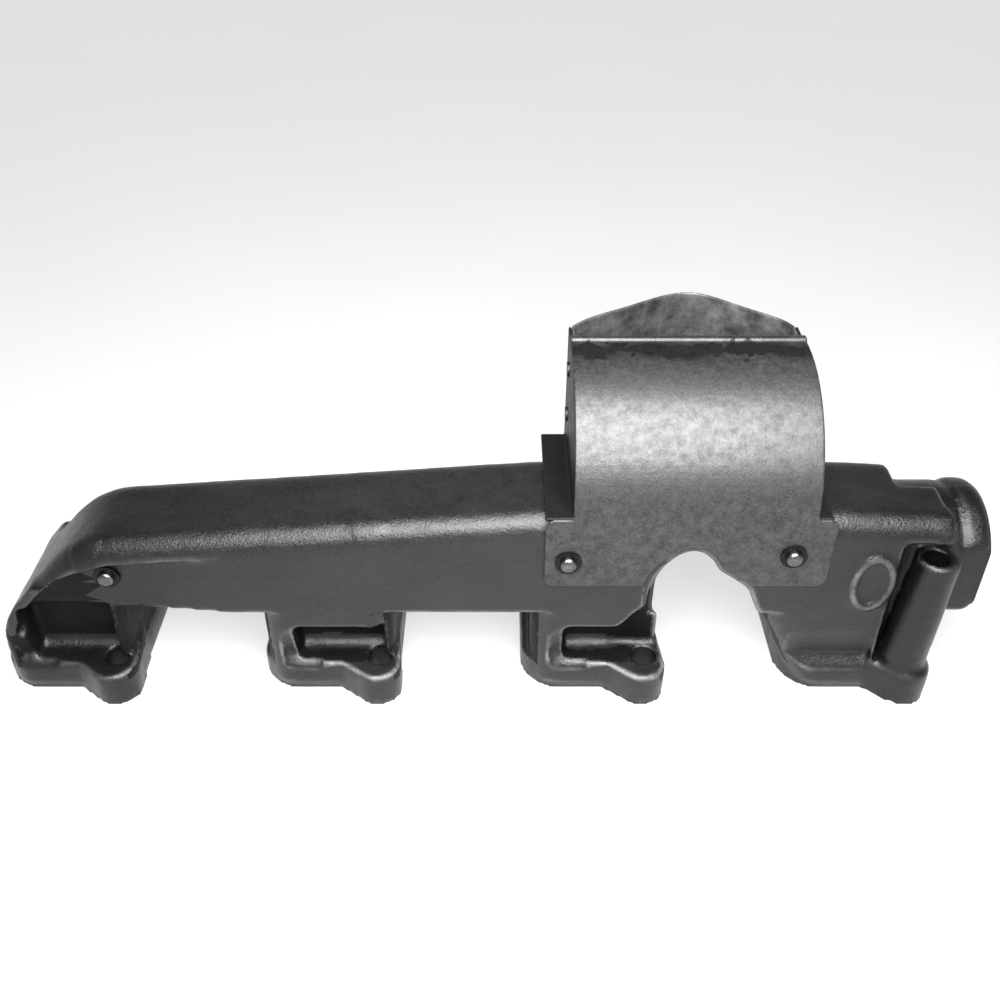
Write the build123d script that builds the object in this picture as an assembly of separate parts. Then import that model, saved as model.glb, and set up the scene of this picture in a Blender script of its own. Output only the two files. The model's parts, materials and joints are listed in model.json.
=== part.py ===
from build123d import *
import os
from math import sqrt

# Four-port cast-iron exhaust manifold with a sheet-steel hot-air stove. Millimetres, +Z up.
# The mating face is Z = 0. X runs along the log, the origin is the middle of the port row,
# and the front face, the one that carries the plug and the stove screws, looks along -Y.

# General
DIAGONAL = 0.7071
BEYOND = 250.0
MARGIN = 20.0

# Ports, flanges and bolt ears
PORT_PITCH = 111.25
PORT_COUNT = 4
PORT_WIDTH = 38.0
PORT_DEPTH = 34.0
PORT_CORNER = 8.0
PASSAGE_FRONT_Y = -16.5
PASSAGE_TOP_Z = 54.0
FLANGE_LEFT = -33.0
FLANGE_RIGHT = 26.0
FLANGE_CORNER = 18.0
FLANGE_SMALL_CORNER = 12.0
FLANGE_THICK = 10.0
FLANGE_SET_BACK = 1.0
FLANGE_WIDE_TO_X = 2.0
FLANGE_SHOULDER = 22.0
FRONT = -35.0
EAR_THICK = 16.0
EAR_RADIUS = 10.0
EAR_TIP = (18.0, FRONT + 1.5)
EAR_HEEL_LEFT = (-10.0, FRONT + 14.0, 3.0)
EAR_HEEL_RIGHT = (20.0, FRONT + 20.0, 6.0)
BOLT_X = 19.0
BOLT_Y = -29.5
BOLT_HOLE_RADIUS = 5.25
POCKET_LEFT = -15.0
POCKET_RIGHT = 21.5
POCKET_DEPTH = 13.5
POCKET_TOP_Z = 36.0
POCKET_TOP_RADIUS = 9.0
POCKET_FOOT_RADIUS = 5.0
FIRST_POCKET_TOP_Z = 46.0
LEDGE_TOP_Z = 34.0
LEDGE_INNER_Z = 18.5
LEDGE_OUTER_Z = 12.5
LEDGE_DEPTH = 4.5
LEDGE_LEFT = -21.0
LEDGE_RIGHT = -5.0
LAST_LEDGE_LEFT = -34.0
LAST_LEDGE_RIGHT = 2.0
THIRD_CUT_LOW = (60.0, 33.0)
THIRD_CUT_HIGH = (75.0, 52.0)
THIRD_CUT_RIGHT_X = 90.0

# Runners
RUNNER_LEFT = -29.0
RUNNER_RIGHT = 25.0
RUNNER_DEPTH = 62.0
RUNNER_CORNER = 12.0
RUNNER_FOOT_Z = 4.0
RUNNER_TOP_Z = 56.0
RUNNER_TOP_DEPTH = 47.6
LAST_RUNNER_LEAN = 25.0

# Log
WALL = 5.0
LOG_DEPTH = 48.0
LOG_BOTTOM_Z = 44.0
LOG_TOP_LEFT_Z = 79.5
LOG_TOP_Z = 92.0
LOG_TOP_END_Z = 90.0
LOG_LEFT_X = -193.0
LOG_LEFT_FOOT = (-150.0, 22.0)
LOG_LEFT_BEND = (-170.5, 60.0)
LOG_LEFT_RISE = (0.12, 1.0)
LOG_END_DROP = 0.5
LOG_SHOULDER_X = -138.0
LOG_LEVEL_X = 28.0
LOG_LEVEL_END_X = 146.0
LOG_END_X = 172.0
RIDGE_END_X = 188.0
RIDGE_DEPTH = 27.0
RIDGE_BOTTOM_Z = 62.0
RIDGE_RADIUS = 9.0
RIDGE_REAR_RADIUS = 2.0
RIDGE_START_X = 152.0
REAR_TOP_RADIUS = 12.0
RECESS_DEPTH = 4.5
RECESS_FADE_X = -134.0
RECESS_END_X = -92.0
RECESS_LOW = (-186.0, 30.0)
RECESS_BEND = (-165.0, 58.0)
RECESS_HIGH = (-133.0, 69.0)
RECESS_RIGHT_TOP = (-90.0, 73.0)
RECESS_RIGHT_FOOT = (-90.0, 40.0)

# Tall bolt boss beside the last runner
BOSS_RADIUS = 8.5
BOSS_TOP_Z = 70.0
BOSS_FOOT_RADIUS = 10.5
BOSS_FOOT_LEFT = 4.0
BOSS_FOOT_FORWARD = 2.0
BOSS_HEAD_RIGHT = 1.5
BOSS_POCKET_LEFT = 3.5
BOSS_POCKET_TOP_Z = 80.0
BOSS_POCKET_DEPTH = 13.0

# Outlet at the right end
OUTLET_Y = 1.0
OUTLET_Z = 52.0
OUTLET_BORE_RADIUS = 19.0
NECK_RADIUS = 27.5
GROOVE_RADIUS = 25.5
GROOVE_WIDTH = 2.5
NECK_START_X = 137.0
BORE_START_X = 142.0
COLLAR_RADIUS = 28.5
COLLAR_START_X = 201.0
COLLAR_WIDTH = 11.0
COLLAR_ROUNDING = 4.5
COLLAR_INNER_ROUNDING = 1.5

# Scallop between the third and fourth ports, cut downwards and backwards
SCALLOP_DIRECTION = (0.3, 1.0, -0.77)
SCALLOP_WALL = 6.0
SCALLOP_REACH = 110.0
SCALLOP_LEAD = 12.0
SCALLOP_FOOT_Z = 43.5
SCALLOP_LEFT = (72.0, 54.0)
SCALLOP_SHOULDER = (77.0, 69.5)
SCALLOP_CROWN = (88.0, 77.5)
SCALLOP_SLOPE = (94.5, 74.7)
SCALLOP_KNEE = (98.5, 68.0)
SCALLOP_HIP = (112.0, 58.5)
SCALLOP_RIGHT_X = 118.0

# Oval pad on the front of the last runner
PAD_X = 160.5
PAD_Z = 61.0
PAD_HALF_WIDTH = 9.0
PAD_HALF_HEIGHT = 14.0
PAD_HEIGHT = 2.2
PAD_RIM = 3.0
PAD_DISH = 2.2

# Hot-air stove
SHEET = 1.2
STOVE_LEFT_X = 41.5
STOVE_RIGHT_X = 134.0
STOVE_RADIUS = 50.0
STOVE_AXIS_Z = 88.0
HEM_Y = FRONT + 57.0
HEM_THICK = 2.4
SKIRT_LEFT_X = 31.0
SKIRT_RIGHT_X = 142.0
SKIRT_BOTTOM_Z = 60.0
SKIRT_CORNER = 4.0
SKIRT_SCALLOP_GAP = 2.5
HEM_WIDTH = 3.0
CHEEK_LOG_GAP = 1.5
RIGHT_FOOT_INSET = 2.0
REAR_SHELL_BOTTOM_Z = 62.0
REAR_SHELL_START_Y = FRONT + 69.0
REAR_SHELL_LEFT = (66.0, FRONT + 86.0)
REAR_SHELL_APEX = (96.0, FRONT + 99.4)
REAR_SHELL_RIGHT = (116.5, FRONT + 85.0)
REAR_SHELL_TURNS = [(0.7, 1), (0.3, -1)]
FOOT_BACK_Y = FRONT + 58.5
LUG_WIDTH = 14.0
LUG_TOP_Z = 80.0

# Small fasteners
SCREW_HOLE_RADIUS = 2.6
SCREW_SHANK_RADIUS = 2.55
SCREW_GRIP = 4.0
SCREW_HEAD_RADIUS = 3.3
SCREW_HEAD_HEIGHT = 2.4
SCREW_HEAD_ROUNDING = 1.6
SCREW_TIP_ROOM = 0.3
WASHER_RADIUS = 5.2
WASHER_THICK = 1.0
FRONT_SCREWS = {"left": (40.3, 73.0), "right": (127.0, 76.0)}
REAR_SCREW_Z = 71.0
PLUG_POINT = (-142.5, 60.8)
RIVET_RADIUS = 1.6
RIVET_HEAD_RADIUS = 3.0
RIVET_HEAD_HEIGHT = 0.9
RIVET_CLEARANCE = 0.03
RIVET_Y = FRONT + 55.0
RIVET_HEIGHTS = (84.0, 105.0, 126.0)

# Worked out from the above
REAR = FRONT + LOG_DEPTH
PORT_CENTRES = [PORT_PITCH * (i - (PORT_COUNT - 1) / 2) for i in range(PORT_COUNT)]
LAST_PORT_X = PORT_CENTRES[-1]
COLLAR_END_X = COLLAR_START_X + COLLAR_WIDTH
STOVE_AXIS_Y = FRONT + STOVE_RADIUS
SKIRT_Y = FRONT - SHEET


def block(x0, x1, y0, y1, z0, z1):
    """A box between two corners."""
    return Pos((x0 + x1) / 2, (y0 + y1) / 2, (z0 + z1) / 2) * Box(x1 - x0, y1 - y0, z1 - z0)


def rod(x, y, z0, z1, radius):
    """An upright cylinder."""
    return Pos(x, y, (z0 + z1) / 2) * Cylinder(radius, z1 - z0)


def rod_y(x, z, y0, y1, radius):
    """A cylinder lying along Y."""
    return Pos(x, (y0 + y1) / 2, z) * Rot(90, 0, 0) * Cylinder(radius, abs(y1 - y0))


def rod_x(y, z, x0, x1, radius):
    """A cylinder lying along X."""
    return Pos((x0 + x1) / 2, y, z) * Rot(0, 90, 0) * Cylinder(radius, x1 - x0)


def hull_slab(circles, height):
    """A slab whose plan is the taut outline round a few circles (x, y, radius)."""
    rings = []
    for x, y, radius in circles:
        rings += (Pos(x, y) * Circle(radius)).edges()
    return extrude(make_hull(rings), height)


def front_face(points_to_face, y0, y1):
    """A sketch drawn in X and Z, carried from one Y to another."""
    plane = Plane(origin=(0, y0, 0), x_dir=(1, 0, 0), z_dir=(0, -1, 0))
    return extrude(plane * points_to_face, -(y1 - y0))


def turned(shape):
    """The shape turned half a turn about the port's own axis."""
    return Rot(0, 0, 180) * shape


def bolt_ear():
    """The front bolt ear: a rounded V that stands out past the flange."""
    return hull_slab([(*EAR_TIP, EAR_RADIUS), EAR_HEEL_LEFT, EAR_HEEL_RIGHT], EAR_THICK)


def flange():
    """One port flange with its two diagonal ears, centred on its port."""
    big, small = FLANGE_CORNER, FLANGE_SMALL_CORNER
    corners = [
        (FLANGE_LEFT + big, FRONT + FLANGE_SET_BACK + big, big),
        (-FLANGE_WIDE_TO_X, FRONT + FLANGE_SET_BACK + big, big),
        (FLANGE_RIGHT - small, FRONT + FLANGE_SHOULDER, small),
        (FLANGE_RIGHT - big, -FRONT - FLANGE_SET_BACK - big, big),
        (FLANGE_WIDE_TO_X, -FRONT - FLANGE_SET_BACK - big, big),
        (FLANGE_LEFT + small, -FRONT - FLANGE_SHOULDER, small),
    ]
    plate = hull_slab(corners, FLANGE_THICK)
    return plate + bolt_ear() + turned(bolt_ear())


def runner(lean):
    """The outside of a runner, from its flange up into the log."""
    width = RUNNER_RIGHT - RUNNER_LEFT
    middle = (RUNNER_RIGHT + RUNNER_LEFT) / 2
    foot = RectangleRounded(width, RUNNER_DEPTH, RUNNER_CORNER)
    head = RectangleRounded(width + lean, RUNNER_TOP_DEPTH, RUNNER_CORNER)
    foot_place = Pos(middle, FRONT + RUNNER_DEPTH / 2, RUNNER_FOOT_Z)
    head_place = Pos(middle - lean / 2, FRONT + LOG_DEPTH / 2, RUNNER_TOP_Z)
    return loft([foot_place * foot, head_place * head])


def port_passage():
    """The gas way from a port up into the log."""
    mouth = Pos(0, 0, -1) * RectangleRounded(PORT_WIDTH, PORT_DEPTH, PORT_CORNER)
    rear_y = REAR - WALL
    depth = rear_y - PASSAGE_FRONT_Y
    top = RectangleRounded(PORT_WIDTH, depth, PORT_CORNER)
    return loft([mouth, Pos(0, PASSAGE_FRONT_Y + depth / 2, PASSAGE_TOP_Z) * top])


def bolt_pocket(top_z):
    """The room for a bolt head and socket above a bolt ear."""
    pocket = block(POCKET_LEFT, POCKET_RIGHT, FRONT - 3, FRONT + POCKET_DEPTH, EAR_THICK, top_z)
    inner_foot, inner_top = pocket.edges().filter_by(Axis.X).sort_by(Axis.Y)[-2:].sort_by(Axis.Z)
    pocket = fillet(inner_foot, POCKET_FOOT_RADIUS)
    inner_top = pocket.edges().filter_by(Axis.X).group_by(Axis.Z)[-1].sort_by(Axis.Y)[-1]
    return fillet(inner_top, POCKET_TOP_RADIUS)


def flange_ledge(left, right):
    """The shallow hollow above the flange's front edge, with a sloping ledge at its foot."""
    with BuildSketch() as section:
        with BuildLine():
            Polyline(
                (FRONT - 1, LEDGE_TOP_Z),
                (FRONT, LEDGE_TOP_Z),
                (FRONT + LEDGE_DEPTH, LEDGE_INNER_Z),
                (FRONT, LEDGE_OUTER_Z),
                (FRONT - 1, LEDGE_OUTER_Z),
                (FRONT - 1, LEDGE_TOP_Z),
            )
        make_face()
    plane = Plane(origin=(left, 0, 0), x_dir=(0, 1, 0), z_dir=(1, 0, 0))
    return extrude(plane * section.sketch, right - left)


def third_pocket_side():
    """The slanting cut that opens the third port's pocket towards the scallop."""
    with BuildSketch() as profile:
        with BuildLine():
            Polyline(
                THIRD_CUT_LOW,
                THIRD_CUT_HIGH,
                (THIRD_CUT_RIGHT_X, THIRD_CUT_HIGH[1]),
                (THIRD_CUT_RIGHT_X, EAR_THICK),
                (THIRD_CUT_LOW[0], EAR_THICK),
                THIRD_CUT_LOW,
            )
        make_face()
    return front_face(profile.sketch, FRONT - 3, FRONT + POCKET_DEPTH)


def log_side_profile(inset):
    """The log seen from the front, pulled in all round by the inset."""
    left = LOG_LEFT_X + inset
    lower = LOG_BOTTOM_Z + inset
    shoulder = (LOG_SHOULDER_X, LOG_TOP_LEFT_Z - inset)
    foot_x, foot_z = LOG_LEFT_FOOT
    bend = (LOG_LEFT_BEND[0] + DIAGONAL * inset, LOG_LEFT_BEND[1] - DIAGONAL * inset)
    rise = (LOG_TOP_Z - LOG_TOP_LEFT_Z) / (LOG_LEVEL_X - LOG_SHOULDER_X)
    with BuildSketch() as profile:
        with BuildLine():
            Spline((left, foot_z), bend, shoulder, tangents=[LOG_LEFT_RISE, (1, rise)])
            Polyline(
                shoulder,
                (LOG_LEVEL_X, LOG_TOP_Z - inset),
                (LOG_LEVEL_END_X, LOG_TOP_Z - inset),
                (LOG_END_X, LOG_TOP_END_Z + LOG_END_DROP - inset),
                (LOG_END_X, lower),
                (foot_x, lower),
                (foot_x, foot_z),
                (left, foot_z),
            )
        make_face()
    return profile.sketch


def scallop_profile():
    """The scallop's edge on the front face."""
    with BuildSketch() as profile:
        with BuildLine():
            foot = (SCALLOP_RIGHT_X, SCALLOP_FOOT_Z)
            Polyline(foot, (SCALLOP_LEFT[0], SCALLOP_FOOT_Z), SCALLOP_LEFT)
            ThreePointArc(SCALLOP_LEFT, SCALLOP_SHOULDER, SCALLOP_CROWN)
            ThreePointArc(SCALLOP_CROWN, SCALLOP_SLOPE, SCALLOP_KNEE)
            Polyline(SCALLOP_KNEE, SCALLOP_HIP, foot)
        make_face()
    return profile.sketch


def scallop(grow):
    """The scallop as a slanting prism, grown all round by a wall where asked."""
    outline = scallop_profile()
    if grow > 0:
        outline = offset(outline, grow, kind=Kind.INTERSECTION)
    plane = Plane(origin=(0, FRONT, 0), x_dir=(1, 0, 0), z_dir=(0, -1, 0))
    face = plane * outline
    back = extrude(face, SCALLOP_REACH, dir=SCALLOP_DIRECTION)
    ahead = extrude(face, SCALLOP_LEAD, dir=[-part for part in SCALLOP_DIRECTION])
    return back + ahead


def ridge_end():
    """The log's front and top edge, carried on past the last runner."""
    with BuildSketch() as profile:
        with BuildLine():
            Polyline(
                (RIDGE_START_X, RIDGE_BOTTOM_Z),
                (RIDGE_START_X, LOG_TOP_END_Z + 1),
                (RIDGE_END_X, LOG_TOP_END_Z),
                (RIDGE_END_X, RIDGE_BOTTOM_Z),
                (RIDGE_START_X, RIDGE_BOTTOM_Z),
            )
        make_face()
    bar = front_face(profile.sketch, FRONT, FRONT + RIDGE_DEPTH)
    along = bar.edges().filter_by(lambda e: abs(e.tangent_at(0.5).X) > 0.9).group_by(Axis.Z)[-1]
    bar = fillet(along.sort_by(Axis.Y)[0], RIDGE_RADIUS)
    along = bar.edges().filter_by(lambda e: abs(e.tangent_at(0.5).X) > 0.9).group_by(Axis.Z)[-1]
    return fillet(along.sort_by(Axis.Y)[-1], RIDGE_REAR_RADIUS)


def log_body():
    """The outside of the log with its rounded front ridge and rear top edge."""
    body = front_face(log_side_profile(0), FRONT, REAR)
    for face_y, radius in ((FRONT, RIDGE_RADIUS), (REAR, REAR_TOP_RADIUS)):
        rim = body.edges().filter_by(lambda e: abs(e.center().Y - face_y) < 0.1)
        upper = [e for e in rim if e.center().Z > 50 and abs(e.tangent_at(0.5).X) > 0.5]
        body = fillet(upper, radius)
    return body


def log_passage():
    """The gas way along the log, a wall's thickness clear of every hollow in its outside."""
    passage = front_face(log_side_profile(WALL), FRONT + WALL, REAR - WALL)
    passage -= block(-BEYOND, BEYOND, FRONT, REAR, 0, LOG_BOTTOM_Z + WALL)
    passage -= block(-BEYOND, RECESS_END_X, FRONT, FRONT + WALL + RECESS_DEPTH, 0, BEYOND)
    passage -= block(LOG_END_X - WALL, BEYOND, FRONT, REAR, 0, BEYOND)
    pocket_left = LAST_PORT_X + BOSS_POCKET_LEFT - WALL
    pocket_back = FRONT + BOSS_POCKET_DEPTH + WALL
    passage -= block(pocket_left, BEYOND, FRONT, pocket_back, 0, BOSS_POCKET_TOP_Z + WALL)
    return passage - scallop(SCALLOP_WALL)


def left_end_envelope(inset):
    """The space inside the log's rounded left end, pulled in by the inset."""
    near, far = FRONT - MARGIN, MARGIN - FRONT
    foot_x, foot_z = LOG_LEFT_FOOT
    below = block(LOG_LEFT_X + inset, LOG_SHOULDER_X, near, far, -2, foot_z + 0.01)
    beside = block(foot_x - 1, LOG_SHOULDER_X, near, far, -2, LOG_BOTTOM_Z + inset + 1)
    return front_face(log_side_profile(inset), near, far) + below + beside


def left_recess():
    """The shallow hollow in the front face under the ridge at the left end."""
    with BuildSketch() as profile:
        with BuildLine():
            ThreePointArc(RECESS_LOW, RECESS_BEND, RECESS_HIGH)
            Polyline(RECESS_HIGH, RECESS_RIGHT_TOP, RECESS_RIGHT_FOOT, RECESS_LOW)
        make_face()
    area = front_face(profile.sketch, FRONT - 1, FRONT + RECESS_DEPTH + 1)
    with BuildSketch() as wedge:
        with BuildLine():
            Polyline(
                (-BEYOND, FRONT - 1),
                (-BEYOND, FRONT + RECESS_DEPTH),
                (RECESS_FADE_X, FRONT + RECESS_DEPTH),
                (RECESS_END_X, FRONT),
                (RECESS_END_X, FRONT - 1),
                (-BEYOND, FRONT - 1),
            )
        make_face()
    return area & extrude(wedge.sketch, BEYOND)


def outlet_outside():
    """The round neck, its groove and the outlet collar."""
    neck = rod_x(OUTLET_Y, OUTLET_Z, NECK_START_X, COLLAR_START_X - GROOVE_WIDTH, NECK_RADIUS)
    groove = rod_x(OUTLET_Y, OUTLET_Z, COLLAR_START_X - GROOVE_WIDTH - 1, COLLAR_START_X + 1, GROOVE_RADIUS)
    collar = rod_x(OUTLET_Y, OUTLET_Z, COLLAR_START_X, COLLAR_END_X, COLLAR_RADIUS)
    outer_rim = collar.edges().filter_by(GeomType.CIRCLE).sort_by(Axis.X)[-1]
    collar = fillet(outer_rim, COLLAR_ROUNDING)
    inner_rim = collar.edges().filter_by(GeomType.CIRCLE).sort_by(Axis.X)[0]
    return neck + groove + fillet(inner_rim, COLLAR_INNER_ROUNDING)


def outlet_bore():
    """The way out through the neck and collar."""
    return rod_x(OUTLET_Y, OUTLET_Z, BORE_START_X, COLLAR_END_X + 1, OUTLET_BORE_RADIUS)


def boss_pocket():
    """The upright recess in which the tall bolt boss stands."""
    left = LAST_PORT_X + BOSS_POCKET_LEFT
    back = FRONT + BOSS_POCKET_DEPTH
    return block(left, BEYOND, FRONT - MARGIN, back, EAR_THICK, BOSS_POCKET_TOP_Z)


def bolt_boss():
    """The tall boss for the last front bolt, leaning a little towards the outlet."""
    x = LAST_PORT_X + BOLT_X
    foot = Pos(x - BOSS_FOOT_LEFT, BOLT_Y - BOSS_FOOT_FORWARD, 0) * Circle(BOSS_FOOT_RADIUS)
    head = Pos(x + BOSS_HEAD_RIGHT, BOLT_Y, BOSS_TOP_Z) * Circle(BOSS_RADIUS)
    return loft([foot, head])


def oval_pad():
    """The raised oval pad on the front of the last runner, dished inside its rim."""
    outline = Pos(PAD_X, PAD_Z) * Ellipse(PAD_HALF_WIDTH, PAD_HALF_HEIGHT)
    inner = Pos(PAD_X, PAD_Z) * Ellipse(PAD_HALF_WIDTH - PAD_RIM, PAD_HALF_HEIGHT - PAD_RIM)
    pad = front_face(outline, FRONT - PAD_HEIGHT, FRONT + 1)
    return pad - front_face(inner, FRONT - PAD_HEIGHT - 1, FRONT - PAD_HEIGHT + PAD_DISH)


def screw_holes():
    """The blind screw holes in the casting."""
    depth = SCREW_GRIP + SCREW_TIP_ROOM
    holes = rod_y(*PLUG_POINT, FRONT - 1, FRONT + RECESS_DEPTH + depth, SCREW_HOLE_RADIUS)
    for x, z in FRONT_SCREWS.values():
        holes += rod_y(x, z, FRONT - 1, FRONT + depth, SCREW_HOLE_RADIUS)
    for x in rear_screw_xs().values():
        holes += rod_y(x, REAR_SCREW_Z, REAR - depth, REAR + 1, SCREW_HOLE_RADIUS)
    return holes


def bolt_holes(x):
    """The two bolt holes of one port, straight down through its ears."""
    top_z = BOSS_TOP_Z if x == LAST_PORT_X else EAR_THICK
    front = rod(x + BOLT_X, BOLT_Y, -1, top_z + 1, BOLT_HOLE_RADIUS)
    return front + rod(x - BOLT_X, -BOLT_Y, -1, EAR_THICK + 1, BOLT_HOLE_RADIUS)


def rear_screw_xs():
    """Where the two rear stove screws stand along the log."""
    return {
        "left": STOVE_LEFT_X + 2 * SHEET + LUG_WIDTH / 2,
        "right": STOVE_RIGHT_X - 2 * SHEET - LUG_WIDTH / 2,
    }


def manifold_casting():
    """The whole casting: log, runners, flanges, boss, neck and their gas ways."""
    outside = log_body() + ridge_end() + outlet_outside() + oval_pad()
    inside = log_passage()
    for x in PORT_CENTRES:
        lean = LAST_RUNNER_LEAN if x == LAST_PORT_X else 0
        leg = Pos(x, 0, 0) * runner(lean)
        passage = Pos(x, 0, 0) * port_passage()
        if x == PORT_CENTRES[0]:
            leg = leg & left_end_envelope(0)
            passage = passage & left_end_envelope(WALL)
        outside += leg + Pos(x, 0, 0) * flange()
        inside += passage
    outside -= scallop(0)
    outside -= left_recess()
    for x in PORT_CENTRES[:-1]:
        top_z = FIRST_POCKET_TOP_Z if x == PORT_CENTRES[0] else POCKET_TOP_Z
        outside -= Pos(x, 0, 0) * bolt_pocket(top_z)
    outside -= third_pocket_side()
    for x in PORT_CENTRES:
        outside -= Pos(x, 0, 0) * turned(bolt_pocket(RUNNER_TOP_Z))
        is_last = x == LAST_PORT_X
        ledge_left = LAST_LEDGE_LEFT if is_last else LEDGE_LEFT
        ledge_right = LAST_LEDGE_RIGHT if is_last else LEDGE_RIGHT
        outside -= Pos(x, 0, 0) * flange_ledge(ledge_left, ledge_right)
    outside -= boss_pocket()
    outside += bolt_boss()
    casting = outside - inside - outlet_bore()
    for x in PORT_CENTRES:
        casting -= bolt_holes(x)
    return casting - screw_holes()


def stove_front_profile():
    """The front shell's section across the log: skirt, quarter round and top flat."""
    inner = STOVE_RADIUS
    outer = STOVE_RADIUS + SHEET
    low_z = STOVE_AXIS_Z - STOVE_RADIUS
    with BuildSketch() as profile:
        with BuildLine():
            Polyline((SKIRT_Y, low_z), (SKIRT_Y, STOVE_AXIS_Z))
            ThreePointArc(
                (SKIRT_Y, STOVE_AXIS_Z),
                (STOVE_AXIS_Y - DIAGONAL * outer, STOVE_AXIS_Z + DIAGONAL * outer),
                (STOVE_AXIS_Y, STOVE_AXIS_Z + outer),
            )
            Polyline(
                (STOVE_AXIS_Y, STOVE_AXIS_Z + outer),
                (HEM_Y, STOVE_AXIS_Z + outer),
                (HEM_Y, STOVE_AXIS_Z + inner),
                (STOVE_AXIS_Y, STOVE_AXIS_Z + inner),
            )
            ThreePointArc(
                (STOVE_AXIS_Y, STOVE_AXIS_Z + inner),
                (STOVE_AXIS_Y - DIAGONAL * inner, STOVE_AXIS_Z + DIAGONAL * inner),
                (FRONT, STOVE_AXIS_Z),
            )
            Polyline((FRONT, STOVE_AXIS_Z), (FRONT, low_z), (SKIRT_Y, low_z))
        make_face()
    return profile.sketch


def skirt_outline():
    """The skirt seen from the front, before the scallop is cut out of it."""
    width = SKIRT_RIGHT_X - SKIRT_LEFT_X
    height = LOG_TOP_Z + SHEET - SKIRT_BOTTOM_Z
    middle = Pos((SKIRT_LEFT_X + SKIRT_RIGHT_X) / 2, SKIRT_BOTTOM_Z + height / 2)
    return middle * RectangleRounded(width, height, SKIRT_CORNER)


def stove_front_shell():
    """The front shell: a skirt on the log's face that rolls up and over as a quarter round."""
    plane = Plane(origin=(STOVE_LEFT_X, 0, 0), x_dir=(0, 1, 0), z_dir=(1, 0, 0))
    rolled = extrude(plane * stove_front_profile(), STOVE_RIGHT_X - STOVE_LEFT_X)
    rolled -= block(0, BEYOND, FRONT - MARGIN, FRONT + MARGIN, 0, STOVE_AXIS_Z - 2)
    skirt = front_face(skirt_outline(), SKIRT_Y, FRONT)
    skirt -= front_face(offset(scallop_profile(), SKIRT_SCALLOP_GAP), FRONT - MARGIN, FRONT + MARGIN)
    hem_z = STOVE_AXIS_Z + STOVE_RADIUS + SHEET
    hem = block(STOVE_LEFT_X, STOVE_RIGHT_X, HEM_Y - HEM_WIDTH, HEM_Y, hem_z - 0.1, hem_z + HEM_THICK - SHEET)
    shell = rolled + skirt + hem
    for x, z in FRONT_SCREWS.values():
        shell -= rod_y(x, z, FRONT - 5, FRONT + 5, SCREW_HOLE_RADIUS)
    return shell


def cheek_profile():
    """The cheek seen from the side, under the quarter round and down behind the log."""
    back_y = REAR + CHEEK_LOG_GAP
    toe_y = STOVE_AXIS_Y - sqrt(STOVE_RADIUS**2 - (LOG_TOP_Z - STOVE_AXIS_Z) ** 2)
    with BuildSketch() as profile:
        with BuildLine():
            ThreePointArc(
                (toe_y, LOG_TOP_Z),
                (STOVE_AXIS_Y - DIAGONAL * STOVE_RADIUS, STOVE_AXIS_Z + DIAGONAL * STOVE_RADIUS),
                (STOVE_AXIS_Y, STOVE_AXIS_Z + STOVE_RADIUS),
            )
            Polyline(
                (STOVE_AXIS_Y, STOVE_AXIS_Z + STOVE_RADIUS),
                (REAR_SHELL_START_Y, STOVE_AXIS_Z + STOVE_RADIUS),
                (REAR_SHELL_START_Y, REAR_SHELL_BOTTOM_Z),
                (back_y, REAR_SHELL_BOTTOM_Z),
                (back_y, LOG_TOP_Z),
                (toe_y, LOG_TOP_Z),
            )
        make_face()
    return profile.sketch


def stove_cheek(side):
    """One end plate of the stove, with a foot turned outwards along the top of the log."""
    left = side == "left"
    web_x = STOVE_LEFT_X if left else STOVE_RIGHT_X - SHEET
    plane = Plane(origin=(web_x, 0, 0), x_dir=(0, 1, 0), z_dir=(1, 0, 0))
    web = extrude(plane * cheek_profile(), SHEET)
    near, far = (SKIRT_LEFT_X, STOVE_LEFT_X) if left else (STOVE_RIGHT_X, SKIRT_RIGHT_X - RIGHT_FOOT_INSET)
    cheek = web + block(near, far, FRONT, FOOT_BACK_Y, LOG_TOP_Z, LOG_TOP_Z + SHEET)
    for z in RIVET_HEIGHTS:
        cheek -= rod_x(RIVET_Y, z, web_x - 5, web_x + 5, RIVET_RADIUS)
    return cheek


def rear_wall_path():
    """The rear shell's wall seen from above, from one cheek round to the other."""
    half = SHEET / 2
    left = STOVE_LEFT_X + SHEET + half
    right = STOVE_RIGHT_X - SHEET - half
    lug_y = REAR + half
    with BuildLine() as path:
        Polyline((left + LUG_WIDTH, lug_y), (left, lug_y), (left, REAR_SHELL_START_Y))
        Spline(
            (left, REAR_SHELL_START_Y),
            REAR_SHELL_LEFT,
            REAR_SHELL_APEX,
            REAR_SHELL_RIGHT,
            (right, REAR_SHELL_START_Y),
            tangents=REAR_SHELL_TURNS,
        )
        Polyline((right, REAR_SHELL_START_Y), (right, lug_y), (right - LUG_WIDTH, lug_y))
    return path.wires()[0]


def stove_rear_shell():
    """The rear shell: a bulged wall behind the log, open above and below, on two lugs."""
    height = STOVE_AXIS_Z + STOVE_RADIUS - REAR_SHELL_BOTTOM_Z
    wall = extrude(Pos(0, 0, REAR_SHELL_BOTTOM_Z) * trace(rear_wall_path(), SHEET), height)
    wall -= block(0, BEYOND, REAR - 5, REAR + SHEET + 0.05, LUG_TOP_Z, BEYOND)
    for x in rear_screw_xs().values():
        wall -= rod_y(x, REAR_SCREW_Z, REAR - 5, REAR + 5, SCREW_HOLE_RADIUS)
    for z in RIVET_HEIGHTS:
        wall -= rod_x(RIVET_Y, z, STOVE_LEFT_X - 5, STOVE_LEFT_X + 5, RIVET_RADIUS)
        wall -= rod_x(RIVET_Y, z, STOVE_RIGHT_X - 5, STOVE_RIGHT_X + 5, RIVET_RADIUS)
    return wall


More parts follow.
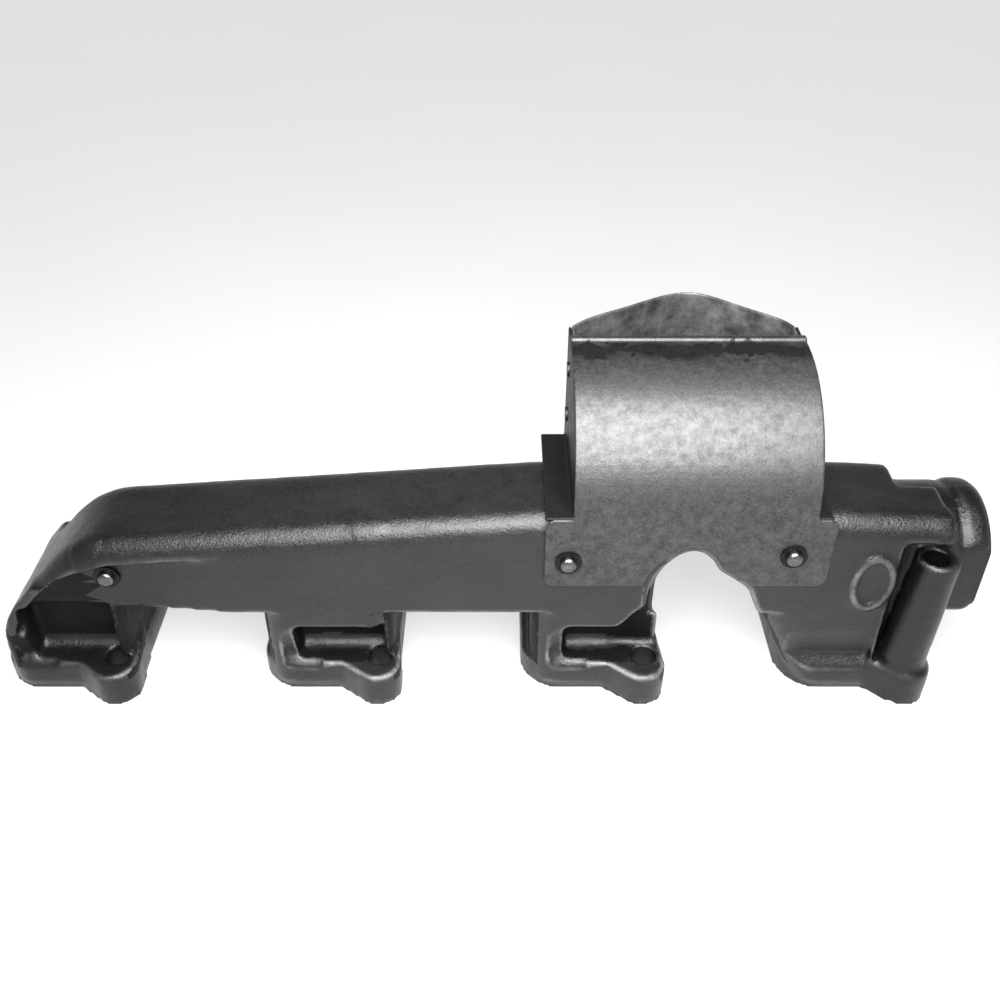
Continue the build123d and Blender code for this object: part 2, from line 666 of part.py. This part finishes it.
def screw(x, z, face_y, outward, stack):
    """A round-headed screw that enters a face along Y, over a stack of sheet and washer."""
    seat = face_y + outward * stack
    shank = rod_y(x, z, seat, face_y - outward * SCREW_GRIP, SCREW_SHANK_RADIUS)
    head = rod_y(x, z, seat, seat + outward * SCREW_HEAD_HEIGHT, SCREW_HEAD_RADIUS)
    rim = head.edges().filter_by(GeomType.CIRCLE).sort_by(Axis.Y)[-1 if outward > 0 else 0]
    return shank + fillet(rim, SCREW_HEAD_ROUNDING)


def washer(x, z, face_y, outward, stack):
    """A plain washer on top of a stack, lying across Y."""
    seat = face_y + outward * stack
    ring = rod_y(x, z, seat, seat + outward * WASHER_THICK, WASHER_RADIUS)
    return ring - rod_y(x, z, seat - 2, seat + 2, SCREW_HOLE_RADIUS)


def cheek_rivets(side):
    """The rivets that hold one cheek to the rear shell."""
    left = side == "left"
    outer = STOVE_LEFT_X if left else STOVE_RIGHT_X
    inward = 1 if left else -1
    far = outer + inward * 2 * SHEET
    rivets = []
    for z in RIVET_HEIGHTS:
        near_head = outer - inward * RIVET_HEAD_HEIGHT
        far_head = far + inward * RIVET_HEAD_HEIGHT
        ends = sorted((near_head, far_head))
        shank = rod_x(RIVET_Y, z, *ends, RIVET_RADIUS - RIVET_CLEARANCE)
        heads = rod_x(RIVET_Y, z, min(near_head, outer), max(near_head, outer), RIVET_HEAD_RADIUS)
        heads += rod_x(RIVET_Y, z, min(far, far_head), max(far, far_head), RIVET_HEAD_RADIUS)
        rivets.append(shank + heads)
    return rivets


def all_parts():
    """Every piece by its node name."""
    parts = {
        "manifold_casting": manifold_casting(),
        "stove_front_shell": stove_front_shell(),
        "stove_rear_shell": stove_rear_shell(),
        "tap_plug": screw(*PLUG_POINT, FRONT + RECESS_DEPTH, -1, WASHER_THICK),
        "tap_plug_washer": washer(*PLUG_POINT, FRONT + RECESS_DEPTH, -1, 0),
    }
    for side in ("left", "right"):
        parts[f"stove_{side}_cheek"] = stove_cheek(side)
        parts[f"stove_{side}_rivets"] = cheek_rivets(side)
        x, z = FRONT_SCREWS[side]
        parts[f"front_screw_{side}"] = screw(x, z, FRONT, -1, SHEET + WASHER_THICK)
        parts[f"front_washer_{side}"] = washer(x, z, FRONT, -1, SHEET)
        x = rear_screw_xs()[side]
        parts[f"rear_screw_{side}"] = screw(x, REAR_SCREW_Z, REAR, 1, SHEET + WASHER_THICK)
        parts[f"rear_washer_{side}"] = washer(x, REAR_SCREW_Z, REAR, 1, SHEET)
    return parts


os.makedirs("parts", exist_ok=True)
for name, shape in all_parts().items():
    solids = shape if isinstance(shape, list) else shape.solids()
    export_step(Compound(children=list(solids)) if len(solids) > 1 else solids[0], f"parts/{name}.step")
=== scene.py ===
import json
import math

import bpy
import numpy as np
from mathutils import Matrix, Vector


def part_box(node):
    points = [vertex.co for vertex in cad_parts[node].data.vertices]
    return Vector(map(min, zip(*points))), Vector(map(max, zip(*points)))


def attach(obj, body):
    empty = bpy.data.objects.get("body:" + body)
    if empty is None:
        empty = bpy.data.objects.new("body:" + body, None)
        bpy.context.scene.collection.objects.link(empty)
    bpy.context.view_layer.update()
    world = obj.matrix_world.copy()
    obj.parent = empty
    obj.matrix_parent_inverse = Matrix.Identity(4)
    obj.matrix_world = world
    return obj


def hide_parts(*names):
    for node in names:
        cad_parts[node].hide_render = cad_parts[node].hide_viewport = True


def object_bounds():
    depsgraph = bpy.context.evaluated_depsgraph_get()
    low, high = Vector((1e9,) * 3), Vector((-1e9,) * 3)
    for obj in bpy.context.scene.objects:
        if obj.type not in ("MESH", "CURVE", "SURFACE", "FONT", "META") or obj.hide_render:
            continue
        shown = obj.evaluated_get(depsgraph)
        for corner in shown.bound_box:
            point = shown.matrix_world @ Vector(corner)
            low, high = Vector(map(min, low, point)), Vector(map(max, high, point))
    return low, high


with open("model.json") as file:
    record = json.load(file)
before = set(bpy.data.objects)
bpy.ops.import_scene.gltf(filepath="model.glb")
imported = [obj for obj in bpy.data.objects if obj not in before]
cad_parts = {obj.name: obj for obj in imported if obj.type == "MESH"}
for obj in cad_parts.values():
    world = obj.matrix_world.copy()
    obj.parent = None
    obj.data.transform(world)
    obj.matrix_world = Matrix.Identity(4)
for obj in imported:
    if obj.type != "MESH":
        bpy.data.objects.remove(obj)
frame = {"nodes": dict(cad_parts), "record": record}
nodes = frame["nodes"]
CAD_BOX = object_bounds()
MM = 0.001

# Visible surfaces: voxel and wave sizes in metres
CAST_VOXEL = 1.1 * MM
CAST_ROUNDING_PASSES = 14
CAST_WAVE = 0.35 * MM
CAST_WAVE_LONG = 26 * MM
CAST_WAVE_SHORT = 9 * MM
CAST_TRIANGLES = 190000
SHEET_VOXEL = 0.55 * MM
SHEET_ROUNDING_PASSES = 3
SHEET_TRIANGLES = 90000
MACHINED_BAND = 0.8 * MM
BOLT_WALL_BAND = 1.2 * MM
EDGE_SINK = 1.6 * MM

# Colours, as linear greys
IRON = (0.003, 0.007)
IRON_SPECK = 0.014
# Worn edges, lightened also to stand in for edge highlights
IRON_WORN_AND_HIGHLIGHT = (0.13, 0.13, 0.128)
# Painted shade tone for the casting's pockets and side walls
IRON_SHADE = 0.002
SHEET = (0.004, 0.022)
SHEET_SPECK = 0.055
# Painted shade tone for the stove's cheeks and the patches under its hem
SHEET_SHADE = 0.003
# Painted light: the paler tone that stands in for the light on the rear shell's inner face
REAR_PAINTED_LIGHT_TONE = 0.11
# Painted shade tone: near-black paint for the log's ends and under the stove's hem
PAINTED_SHADE_TONE = 0.001
FLOOR = (0.22, 0.24)

# Noise scales, per metre
BLOTCH_SCALE = 38.0
GLOSS_SCALE = 150.0
WEAR_AND_HIGHLIGHT_SCALE = 160.0
MOTTLE_SCALE = 260.0
CAST_SCALE = 340.0
GRAIN_SCALE = 900.0
SHEET_GRAIN_SCALE = 1400.0
STEEL_SCALE = 1500.0
SAND_SCALE = 2600.0
STEEL_GLOSS_SCALE = 3000.0

# Painted shade: the paint darkened towards both ends of the log, where the light falls off, millimetres
SHADE_LEFT_START = -60
SHADE_LEFT_LENGTH = 120
SHADE_RIGHT_START = 128
SHADE_RIGHT_LENGTH = 60
SHADE_MOST = 0.9

# Painted shade on the casting, in the pockets and on the runners' sides, millimetres: each box is a low
# and a high corner
PORT_PITCH = 111.25
PORTS = [PORT_PITCH * (i - 1.5) for i in range(4)]
POCKET_TOPS = (46.0, 36.0, 36.0)
POCKET_LOW = (-15.5, -33.8, 15.4)
POCKET_HIGH = (22.5, -20)
SIDE_WALL_BAND = (11, 45)
THIRD_PORT_CUT = ((58, -33.8, 15.4), (76, -20, 52))
BOSS_POCKET = ((171.0, -33.8, 15.4), (195, -20, 80))
LEFT_HOLLOW = ((-191, -33.8, 12), (-150, -29, 66))
BOSS_AXIS = (185.5, -30.0)
BOSS_REACH = 12
LIT_WAY = (0.0, -0.707, 0.707)

# Painted shade: a dark band under the front shell's hem, millimetres, and the seeds of its patches
HEM_BAND_Y = 12
HEM_SHADE_WIDTH = 7
HEM_SHADE_Z = 130
HEM_SHADE_PATCH_WIDTH = 8
HEM_SHADE_PATCH_Z = 128
FIRST_SHEET_SEED = 11
SECOND_WAVE_SEED = 40

# Studio: the pale wall's height as the sine of its elevation, and its two tones
WALL_FULL = 0.12
WALL_GONE = 0.34
WALL_TONE = 0.80
STUDIO_TONE = 0.13
FLOOR_HALF = 12.0
FLOOR_GLOW = 0.62

# Camera and lights: places in millimetres, angles in degrees
CAMERA_PLACE = (13.9, -347.7, 337.8)
CAMERA_PITCH = 37.0
CAMERA_LENS = 38.0
CAMERA_SENSOR = 36.0
SOFTBOX_TARGET = (42, -20, 80)
SOFTBOX_REACH = 340
SOFTBOX_LIFT = 57
SOFTBOX_SIZE = 360
SOFTBOX_POWER = 9.2
CEILING_POWER = 1.0
CEILING_ANGLE = 60
CEILING_TILT = 32


# ---------------------------------------------------------------- node helpers


def grey(tone):
    """A linear grey as a colour."""
    return (tone, tone, tone)


def new_material(name):
    """A node material with its shader, and the object coordinates in metres."""
    mat = bpy.data.materials.new(name)
    mat.use_nodes = True
    tree = mat.node_tree
    tree.nodes.clear()
    out = tree.nodes.new("ShaderNodeOutputMaterial")
    shader = tree.nodes.new("ShaderNodeBsdfPrincipled")
    tree.links.new(shader.outputs["BSDF"], out.inputs["Surface"])
    place = tree.nodes.new("ShaderNodeTexCoord").outputs["Object"]
    return mat, tree, shader, place


def add(tree, kind, **values):
    """A node with its input sockets set by name."""
    node = tree.nodes.new(kind)
    for name, value in values.items():
        node.inputs[name].default_value = value
    return node


def noise(tree, place, scale, detail=4.0, rough=0.55):
    """A noise texture of the given scale, per metre."""
    node = add(tree, "ShaderNodeTexNoise", Scale=scale, Detail=detail, Roughness=rough)
    tree.links.new(place, node.inputs["Vector"])
    return node.outputs["Fac"]


def ramp(tree, value, stops):
    """A colour ramp from (position, grey or colour) stops."""
    node = tree.nodes.new("ShaderNodeValToRGB")
    elements = node.color_ramp.elements
    for element, (place, tone) in zip(elements, stops):
        element.position = place
        element.color = (*(grey(tone) if isinstance(tone, float) else tone), 1.0)
    tree.links.new(value, node.inputs["Fac"])
    return node.outputs["Color"]


def times(tree, value, factor):
    """A socket multiplied by another socket or a plain number."""
    node = tree.nodes.new("ShaderNodeMath")
    node.operation = "MULTIPLY"
    tree.links.new(value, node.inputs[0])
    if isinstance(factor, float):
        node.inputs[1].default_value = factor
    else:
        tree.links.new(factor, node.inputs[1])
    return node.outputs[0]


def mix_colour(tree, factor, under, over):
    """A plain colour mixed over a colour socket."""
    node = tree.nodes.new("ShaderNodeMix")
    node.data_type = "RGBA"
    tree.links.new(factor, node.inputs[0])
    tree.links.new(under, node.inputs[6])
    node.inputs[7].default_value = (*over, 1.0)
    return node.outputs[2]


def bump(tree, height, distance, strength, normal=None):
    """A bump node over a height socket."""
    node = add(tree, "ShaderNodeBump", Strength=strength, Distance=distance)
    tree.links.new(height, node.inputs["Height"])
    if normal is not None:
        tree.links.new(normal, node.inputs["Normal"])
    return node.outputs["Normal"]


def attribute(tree, name):
    """A stored value on the mesh's vertices."""
    node = tree.nodes.new("ShaderNodeAttribute")
    node.attribute_name = name
    return node.outputs["Fac"]


def wire(tree, shader, **sockets):
    """Links colour, roughness and normal into the shader."""
    for name, value in sockets.items():
        tree.links.new(value, shader.inputs[name.replace("_", " ")])


# ---------------------------------------------------------------- materials


def cast_iron_material():
    """Black-painted sand-cast iron: pitted grain, soft blotches, slightly worn edges that are lightened
    also as painted highlights, and painted shade towards both ends of the log.
    """
    mat, tree, shader, place = new_material("cast_iron_black")
    blotch = noise(tree, place, BLOTCH_SCALE, 5.0, 0.6)
    grain = noise(tree, place, GRAIN_SCALE, 5.0, 0.6)
    sand = noise(tree, place, SAND_SCALE, 2.0, 0.5)
    base = ramp(tree, blotch, [(0.3, IRON[0]), (0.7, IRON[1])])
    speck = ramp(tree, grain, [(0.42, 0.0), (0.62, 1.0)])
    base = mix_colour(tree, times(tree, speck, 0.35), base, grey(IRON_SPECK))
    # Worn edges, lightened also as painted highlights along the convex edges
    wear_and_highlight = ramp(tree, attribute(tree, "edge"), [(0.56, 0.0), (0.74, 1.0)])
    patchy = ramp(tree, noise(tree, place, WEAR_AND_HIGHLIGHT_SCALE, 4.0, 0.6), [(0.35, 0.3), (0.6, 1.0)])
    base = mix_colour(tree, times(tree, times(tree, wear_and_highlight, patchy), 0.8), base, IRON_WORN_AND_HIGHLIGHT)
    # Painted shade towards both ends of the log, where the light falls off
    base = mix_colour(tree, attribute(tree, "end_shade"), base, grey(PAINTED_SHADE_TONE))
    gloss = ramp(tree, noise(tree, place, GLOSS_SCALE, 5.0, 0.65), [(0.3, 0.27), (0.7, 0.42)])
    coarse = bump(tree, noise(tree, place, CAST_SCALE, 5.0, 0.65), 0.0009, 0.22)
    fine = bump(tree, grain, 0.0005, 0.45, coarse)
    wire(tree, shader, Base_Color=base, Roughness=gloss, Normal=bump(tree, sand, 0.0002, 0.5, fine))
    shader.inputs["Specular IOR Level"].default_value = 0.38
    return mat


def painted_shade_material(name, tone, specular):
    """Dark paint that throws back little light, put on as painted shade: pockets, side walls, the
    cheeks and patches under the hem.
    """
    mat, tree, shader, place = new_material(name)
    grain = noise(tree, place, GRAIN_SCALE, 5.0, 0.6)
    base = ramp(tree, grain, [(0.35, tone * 0.6), (0.65, tone * 1.6)])
    rough = ramp(tree, noise(tree, place, GLOSS_SCALE), [(0.3, 0.45), (0.7, 0.6)])
    wire(tree, shader, Base_Color=base, Roughness=rough, Normal=bump(tree, grain, 0.0005, 0.45))
    shader.inputs["Specular IOR Level"].default_value = specular
    return mat


def stove_sheet_material():
    """Black-painted sheet steel, finely mottled, with a matt grain, painted shade under the hem and a
    paler patchy tone painted on the rear shell to stand in for light.
    """
    mat, tree, shader, place = new_material("stove_sheet_black")
    mottle = noise(tree, place, MOTTLE_SCALE, 8.0, 0.74)
    grain = noise(tree, place, SHEET_GRAIN_SCALE, 3.0, 0.6)
    base = ramp(tree, mottle, [(0.38, SHEET[0]), (0.62, SHEET[1])])
    pale = ramp(tree, grain, [(0.52, 0.0), (0.70, 1.0)])
    base = mix_colour(tree, times(tree, pale, 0.35), base, grey(SHEET_SPECK))
    patchy = ramp(tree, mottle, [(0.3, 0.25), (0.7, 1.0)])
    # Painted light: the rear shell made paler in patches, standing in for the light on its inner face
    base = mix_colour(tree, times(tree, attribute(tree, "rear_painted_light"), patchy), base, grey(REAR_PAINTED_LIGHT_TONE))
    # Painted shade in a band under the front shell's hem
    base = mix_colour(tree, attribute(tree, "hem_shade"), base, grey(PAINTED_SHADE_TONE))
    gloss = ramp(tree, mottle, [(0.36, 0.50), (0.64, 0.30)])
    coarse = bump(tree, mottle, 0.0004, 0.20)
    wire(tree, shader, Base_Color=base, Roughness=gloss, Normal=bump(tree, grain, 0.0002, 0.35, coarse))
    shader.inputs["Specular IOR Level"].default_value = 0.45
    return mat


def steel_material(name, dark, bright, roughness):
    """Bare or blackened steel with turned grain and small marks."""
    mat, tree, shader, place = new_material(name)
    marks = noise(tree, place, STEEL_SCALE, 4.0, 0.6)
    base = ramp(tree, marks, [(0.35, dark), (0.65, bright)])
    stops = [(0.3, roughness), (0.7, roughness + 0.15)]
    rough = ramp(tree, noise(tree, place, STEEL_GLOSS_SCALE), stops)
    wire(tree, shader, Base_Color=base, Roughness=rough, Normal=bump(tree, marks, 0.0002, 0.4))
    shader.inputs["Metallic"].default_value = 1.0
    return mat


def floor_material():
    """A plain pale floor, lit a little from below like a light table."""
    mat, tree, shader, place = new_material("pale_floor")
    base = ramp(tree, noise(tree, place, 6.0), [(0.3, FLOOR[0]), (0.7, FLOOR[1])])
    wire(tree, shader, Base_Color=base)
    shader.inputs["Roughness"].default_value = 0.9
    shader.inputs["Emission Color"].default_value = (1.0, 1.0, 1.0, 1.0)
    shader.inputs["Emission Strength"].default_value = FLOOR_GLOW
    return mat


# ---------------------------------------------------------------- mesh helpers


def link(thing):
    """Puts an object into the scene."""
    bpy.context.scene.collection.objects.link(thing)
    return thing


def copy_node(node, name):
    """A free copy of a CAD node's mesh under a new name."""
    piece = bpy.data.objects.new(name, nodes[node].data.copy())
    piece.data.materials.clear()
    return link(piece)


def apply_modifier(piece, kind, **settings):
    """Adds one modifier and bakes it into the mesh."""
    mod = piece.modifiers.new(kind.lower(), kind)
    for key, value in settings.items():
        setattr(mod, key, value)
    graph = bpy.context.evaluated_depsgraph_get()
    baked = bpy.data.meshes.new_from_object(piece.evaluated_get(graph))
    piece.modifiers.clear()
    piece.data = baked


def triples(items, key):
    """One vector per mesh item as an array."""
    flat = np.empty(len(items) * 3, dtype=np.float32)
    items.foreach_get(key, flat)
    return flat.reshape(-1, 3)


def points(piece):
    """The mesh's vertices as an array."""
    return triples(piece.data.vertices, "co")


def normals(piece):
    """The mesh's vertex normals as an array."""
    return triples(piece.data.vertex_normals, "vector")


def set_points(piece, place):
    """Writes an array of vertices back."""
    piece.data.vertices.foreach_set("co", place.astype(np.float32).ravel())
    piece.data.update()


def store(piece, name, values):
    """Keeps one number per vertex on the mesh."""
    layer = piece.data.attributes.new(name, "FLOAT", "POINT")
    layer.data.foreach_set("value", values.astype(np.float32))


def waves(place, length, seed):
    """A smooth random field about 0 that varies over about the given length."""
    rng = np.random.default_rng(seed)
    total = np.zeros(len(place))
    for _ in range(10):
        way = rng.normal(size=3)
        way /= np.linalg.norm(way)
        pitch = 2 * math.pi / (length * rng.uniform(0.6, 1.8))
        total += np.sin(place @ way * pitch + rng.uniform(0, 2 * math.pi))
    return total / 4.0


def soften(piece, passes, keep_sharp):
    """Rounds the edges except where keep_sharp is 1, and returns how far each vertex sank."""
    before = points(piece)
    facing = normals(piece)
    group = piece.vertex_groups.new(name="soft")
    weights = np.round(1.0 - keep_sharp, 1)
    for level in np.unique(weights):
        group.add(np.nonzero(weights == level)[0].tolist(), float(level), "REPLACE")
    apply_modifier(piece, "SMOOTH", factor=0.5, iterations=passes, vertex_group="soft")
    return np.einsum("ij,ij->i", before - points(piece), facing)


def shade_smooth(piece, angle):
    """Smooth shading that still breaks at sharp edges."""
    piece.data.polygons.foreach_set("use_smooth", [True] * len(piece.data.polygons))
    piece.data.set_sharp_from_angle(angle=math.radians(angle))


def thin_out(piece, triangles):
    """Brings the mesh down to a triangle budget, where it is over it."""
    piece.data.calc_loop_triangles()
    count = len(piece.data.loop_triangles)
    if count > triangles:
        apply_modifier(piece, "DECIMATE", ratio=triangles / count, use_collapse_triangulate=True)


def relaxed(piece, values, rounds):
    """Vertex values spread over their neighbours a few times."""
    ends = np.empty(len(piece.data.edges) * 2, dtype=np.int64)
    piece.data.edges.foreach_get("vertices", ends)
    first, second = ends.reshape(-1, 2).T
    count = np.bincount(ends, minlength=len(values)) + 1.0
    for _ in range(rounds):
        total = values + np.bincount(first, values[second], len(values))
        values = (total + np.bincount(second, values[first], len(values))) / count
    return values


def finish_piece(piece, material, replaced):
    """Gives a piece its material, hangs it under the root body and hides the CAD part it replaces."""
    piece.data.materials.clear()
    piece.data.materials.append(material)
    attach(piece, "root")
    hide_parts(replaced)


def second_material(piece, material, chosen):
    """Gives the chosen faces a second material."""
    piece.data.materials.append(material)
    piece.data.polygons.foreach_set("material_index", chosen.astype(np.int32))
    piece.data.update()


# ---------------------------------------------------------------- the casting


def near_machined(place):
    """True by the machined mating face and the outlet's face."""
    low, high = (np.array(corner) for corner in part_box("manifold_casting"))
    return (place[:, 2] < low[2] + MACHINED_BAND) | (place[:, 0] > high[0] - MACHINED_BAND)


def near_bolts(place):
    """True on the walls of the bolt holes, whose axes come from the record's bolt rows."""
    found = np.zeros(len(place), dtype=bool)
    for row in (m for m in frame["record"]["mounts"] if m["kind"] == "bolt_pattern"):
        dims = row["dims"]
        for i in range(dims["count"]):
            x = row["pos_m"][0] + dims["spacing_x_mm"] * MM * (i - (dims["count"] - 1) / 2)
            reach = np.hypot(place[:, 0] - x, place[:, 1] - row["pos_m"][1])
            found |= reach < dims["hole_r_mm"] * MM + BOLT_WALL_BAND
    return found


def kept_sharp(place):
    """1 where the casting is machined, 0 on its raw skin."""
    return (near_machined(place) | near_bolts(place)).astype(float)


def in_box(place, low, high):
    """True for the points inside a box given in millimetres."""
    low, high = np.array(low) * MM, np.array(high) * MM
    return np.all((place > low) & (place < high), axis=1)


def painted_shade_places(place, facing):
    """True where shade is painted: in the pockets, on the runners' sides and in the left hollow, but
    not on faces turned to the light.
    """
    low_z, high_z = SIDE_WALL_BAND
    shaded = (np.abs(facing[:, 0]) > 0.75) & (np.abs(facing[:, 2]) < 0.45)
    shaded &= (place[:, 2] > low_z * MM) & (place[:, 2] < high_z * MM)
    for port, top in zip(PORTS, POCKET_TOPS):
        low = (port + POCKET_LOW[0], *POCKET_LOW[1:])
        shaded |= in_box(place, low, (port + POCKET_HIGH[0], POCKET_HIGH[1], top))
    shaded |= in_box(place, *THIRD_PORT_CUT) | in_box(place, *BOSS_POCKET)
    shaded |= in_box(place, *LEFT_HOLLOW) & (facing[:, 1] < -0.8)
    from_boss = np.hypot(place[:, 0] - BOSS_AXIS[0] * MM, place[:, 1] - BOSS_AXIS[1] * MM)
    # Faces turned to the softbox keep the glossy paint, and only the rest get painted shade
    lit = facing @ np.array(LIT_WAY) > 0.80
    return shaded & ~lit & (from_boss >= BOSS_REACH * MM)


def end_falloff_shade(place):
    """How much shade is painted on, rising towards both ends of the log where the light falls off."""
    to_left = np.clip((SHADE_LEFT_START * MM - place[:, 0]) / (SHADE_LEFT_LENGTH * MM), 0, 1)
    to_right = np.clip((place[:, 0] - SHADE_RIGHT_START * MM) / (SHADE_RIGHT_LENGTH * MM), 0, 1)
    return SHADE_MOST * np.maximum(to_left, to_right)


def build_casting(material, shade_material):
    """The casting's visible skin: rounded edges, a slightly uneven surface, worn edges lightened also
    as painted highlights, painted shade towards both ends, and painted shade in the pockets and on the
    side walls.
    """
    piece = copy_node("manifold_casting", "manifold_casting_skin")
    apply_modifier(piece, "REMESH", mode="VOXEL", voxel_size=CAST_VOXEL, adaptivity=0.0)
    sank = soften(piece, CAST_ROUNDING_PASSES, kept_sharp(points(piece)))
    place = points(piece)
    # How far each point sank in the rounding: the convex edges, later lightened as wear and as painted
    # highlight
    store(piece, "edge", np.clip(0.5 + sank / EDGE_SINK, 0, 1))
    # Painted shade: darkness rising towards both ends of the log, standing in for the light falling off
    store(piece, "end_shade", end_falloff_shade(place))
    uneven = waves(place, CAST_WAVE_LONG, 3) * 0.7 + waves(place, CAST_WAVE_SHORT, 5) * 0.3
    inward = (uneven - 1.0) * 0.5 * CAST_WAVE * (1 - kept_sharp(place))
    set_points(piece, place + normals(piece) * inward[:, None])
    thin_out(piece, CAST_TRIANGLES)
    shade_smooth(piece, 60)
    finish_piece(piece, material, "manifold_casting")
    faces = piece.data.polygons
    # Painted shade: the pockets, side walls and left hollow take the dark material
    second_material(piece, shade_material, painted_shade_places(triples(faces, "center"), triples(faces, "normal")))


# ---------------------------------------------------------------- the stove


def sheet_marks(node, place, seed):
    """Painted shade and painted light on one stove piece: painted shade under the hem, and a paler
    patchy tone painted as light on the rear shell.
    """
    hem_shade = np.zeros(len(place))
    rear_painted_light = np.zeros(len(place))
    second = waves(place, 6 * MM, seed + SECOND_WAVE_SEED)
    patches = waves(place, 16 * MM, seed) + 0.5 * second
    if node == "stove_front_shell":
        # Painted shade: a band under the hem
        off_band = (place[:, 1] - HEM_BAND_Y * MM) / (HEM_SHADE_WIDTH * MM)
        band = np.exp(-(off_band**2)) * (place[:, 2] > HEM_SHADE_Z * MM)
        hem_shade = np.clip(band * (0.75 + 0.5 * patches), 0, 1)
    elif node == "stove_rear_shell":
        # Painted light: a paler patchy tone over the whole rear shell
        rear_painted_light = np.clip(0.5 + 0.3 * patches, 0, 1)
    return hem_shade, rear_painted_light


def hem_shade_patches(place, seed):
    """True in the ragged patches of painted shade under the front shell's hem."""
    patches = waves(place, 15 * MM, seed) + 0.7 * waves(place, 5 * MM, seed + SECOND_WAVE_SEED)
    off_band = np.abs(place[:, 1] - HEM_BAND_Y * MM) / (HEM_SHADE_PATCH_WIDTH * MM)
    return (place[:, 2] > HEM_SHADE_PATCH_Z * MM) & (patches > 2.2 * off_band - 0.9)


def build_sheet(node, material, shade_material, seed):
    """A sheet-steel piece with broken edges, painted shade under the hem and on the cheeks, and a paler
    tone painted as light on the rear shell.
    """
    piece = copy_node(node, node + "_sheet")
    apply_modifier(piece, "REMESH", mode="VOXEL", voxel_size=SHEET_VOXEL, adaptivity=0.0)
    soften(piece, SHEET_ROUNDING_PASSES, np.zeros(len(piece.data.vertices)))
    hem_shade, rear_painted_light = sheet_marks(node, points(piece), seed)
    # Painted shade under the hem, kept on the vertices
    store(piece, "hem_shade", relaxed(piece, hem_shade, 4))
    # Painted light on the rear shell, kept on the vertices
    store(piece, "rear_painted_light", rear_painted_light)
    thin_out(piece, SHEET_TRIANGLES)
    shade_smooth(piece, 50)
    # The cheeks take the painted-shade material: dark sheet standing in for the shade beside the barrel
    finish_piece(piece, shade_material if "cheek" in node else material, node)
    if node == "stove_front_shell":
        # Painted shade: ragged patches under the hem take the dark material
        second_material(piece, shade_material, hem_shade_patches(triples(piece.data.polygons, "center"), seed))


# ---------------------------------------------------------------- stage


def build_floor(material):
    """A wide pale floor at the foot of the flanges."""
    mesh = bpy.data.meshes.new("floor")
    half = FLOOR_HALF
    corners = [(-half, -half, 0), (half, -half, 0), (half, half, 0), (-half, half, 0)]
    mesh.from_pydata(corners, [], [(0, 1, 2, 3)])
    mesh.materials.append(material)
    floor = link(bpy.data.objects.new("floor", mesh))
    floor.location.z = CAD_BOX[0].z


def build_world():
    """A dim studio with a pale wall round its foot."""
    world = bpy.data.worlds.new("surround")
    bpy.context.scene.world = world
    world.use_nodes = True
    tree = world.node_tree
    place = tree.nodes.new("ShaderNodeTexCoord").outputs["Generated"]
    split = tree.nodes.new("ShaderNodeSeparateXYZ")
    tree.links.new(place, split.inputs["Vector"])
    tone = ramp(tree, split.outputs["Z"], [(WALL_FULL, WALL_TONE), (WALL_GONE, STUDIO_TONE)])
    tree.links.new(tone, tree.nodes["Background"].inputs["Color"])


def build_camera():
    """The view from above and in front, looking down at the log."""
    data = bpy.data.cameras.new("camera")
    data.sensor_width = CAMERA_SENSOR
    data.lens = CAMERA_LENS
    camera = link(bpy.data.objects.new("camera", data))
    camera.location = Vector(CAMERA_PLACE) * MM
    camera.rotation_euler = (math.radians(90 - CAMERA_PITCH), 0, 0)
    bpy.context.scene.camera = camera


def build_softbox():
    """A near softbox, up and in front of the stove."""
    lift = math.radians(SOFTBOX_LIFT)
    back = Vector((0, -math.cos(lift), math.sin(lift)))
    data = bpy.data.lights.new("near_softbox", "AREA")
    data.shape = "SQUARE"
    data.size = SOFTBOX_SIZE * MM
    data.energy = SOFTBOX_POWER
    lamp = link(bpy.data.objects.new("near_softbox", data))
    lamp.location = Vector(SOFTBOX_TARGET) * MM + back * SOFTBOX_REACH * MM
    lamp.rotation_euler = (-back).to_track_quat("-Z", "Y").to_euler()
    lamp.visible_camera = False


def build_ceiling():
    """A broad even ceiling light."""
    data = bpy.data.lights.new("studio_ceiling", "SUN")
    data.energy = CEILING_POWER
    data.angle = math.radians(CEILING_ANGLE)
    lamp = link(bpy.data.objects.new("studio_ceiling", data))
    lamp.rotation_euler = (math.radians(CEILING_TILT), 0, 0)


# ---------------------------------------------------------------- the scene

iron = cast_iron_material()
# Painted shade for the casting's pockets and side walls
iron_shade = painted_shade_material("cast_iron_painted_shade", IRON_SHADE, 0.12)
sheet = stove_sheet_material()
# Painted shade for the stove's cheeks and under its hem
sheet_shade = painted_shade_material("stove_sheet_painted_shade", SHEET_SHADE, 0.2)
bright_steel = steel_material("screw_steel_worn", (0.07, 0.07, 0.072), (0.16, 0.16, 0.162), 0.22)
black_steel = steel_material("washer_black_oxide", grey(0.012), (0.030, 0.030, 0.031), 0.35)
rivet_black = steel_material("rivet_black", grey(0.030), (0.070, 0.070, 0.071), 0.40)

build_casting(iron, iron_shade)
sheet_nodes = sorted(n for n in nodes if n.startswith("stove_") and "rivets" not in n)
for seed, node in enumerate(sheet_nodes, FIRST_SHEET_SEED):
    build_sheet(node, sheet, sheet_shade, seed)
for node, cad in nodes.items():
    cad.data.materials.clear()
    if "screw" in node or node == "tap_plug":
        cad.data.materials.append(bright_steel)
    elif "washer" in node:
        cad.data.materials.append(black_steel)
    else:
        cad.data.materials.append(rivet_black)

build_floor(floor_material())
build_world()
build_camera()
build_softbox()
build_ceiling()
bpy.context.scene.view_settings.view_transform = "Standard"
